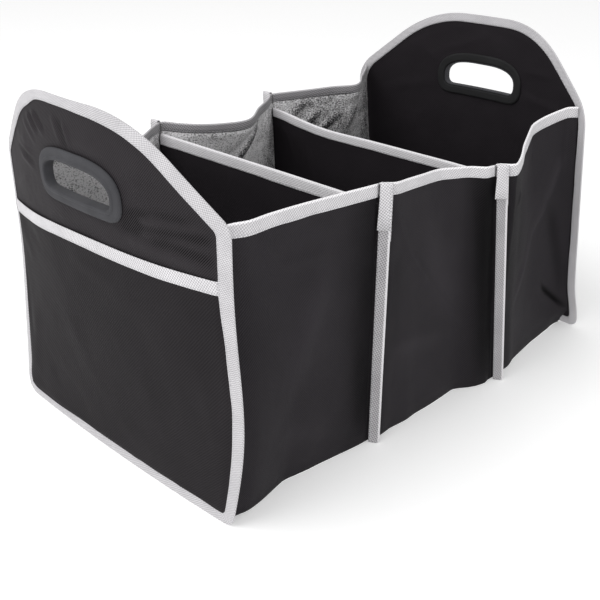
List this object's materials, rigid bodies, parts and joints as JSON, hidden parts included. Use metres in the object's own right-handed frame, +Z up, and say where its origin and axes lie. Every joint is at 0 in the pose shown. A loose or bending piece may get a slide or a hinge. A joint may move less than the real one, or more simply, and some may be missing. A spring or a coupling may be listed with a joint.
{
  "type": "collapsible trunk organizer",
  "caption": "Open soft-sided car trunk organizer: tall arched end panels with grip holes, dividers, folded side walls, an end pocket and taped edges.",
  "frame": {"origin": "centre of the bounding box's footprint, on the surface the organizer stands on", "axes": "+X along the length, from the end panel with the pocket to the other one; +Y from the smoother long wall (front) to the folded one (back); +Z up"},
  "size_m": [0.5966, 0.3734, 0.3559],
  "materials": {
    "black_cloth": "satin non-woven cloth with a fine diagonal emboss",
    "grey_cloth": "mottled dark grey non-woven cloth, uncoated side",
    "pale_tape": "light grey woven binding tape",
    "grey_plastic": "dark grey moulded plastic, semi-matte",
    "brown_card": "plain brown stiffening card, hidden in the cloth"
  },
  "bodies": {
    "root": {"near_end_cover": "black_cloth", "near_end_card": "brown_card", "near_end_lining": "black_cloth", "near_end_tape": "pale_tape", "near_grip_ring": "grey_plastic", "near_grip_clip": "grey_plastic", "near_divider_cloth": "black_cloth", "near_divider_card": "brown_card", "near_divider_tape": "pale_tape", "far_end_cover": "black_cloth", "far_end_card": "brown_card", "far_end_lining": "black_cloth", "far_end_tape": "pale_tape", "far_grip_ring": "grey_plastic", "far_grip_clip": "grey_plastic", "far_divider_cloth": "black_cloth", "far_divider_card": "brown_card", "far_divider_tape": "pale_tape", "pocket_cloth": "black_cloth", "pocket_tape": "pale_tape", "floor_cloth": "black_cloth", "front_wall_1": "black_cloth", "back_wall_1": "grey_cloth", "front_rim_tape_1": "pale_tape", "back_rim_tape_1": "pale_tape", "base_board_1": "black_cloth", "front_wall_2": "black_cloth", "back_wall_2": "grey_cloth", "front_rim_tape_2": "pale_tape", "back_rim_tape_2": "pale_tape", "base_board_2": "black_cloth", "front_wall_3": "black_cloth", "back_wall_3": "grey_cloth", "front_rim_tape_3": "pale_tape", "back_rim_tape_3": "pale_tape", "base_board_3": "black_cloth", "front_near_seam_tape": "pale_tape", "front_near_seam_tab": "pale_tape", "front_far_seam_tape": "pale_tape", "front_far_seam_tab": "pale_tape", "back_near_seam_tape": "pale_tape", "back_near_seam_tab": "pale_tape", "back_far_seam_tape": "pale_tape", "back_far_seam_tab": "pale_tape"}
  },
  "joints": []
}
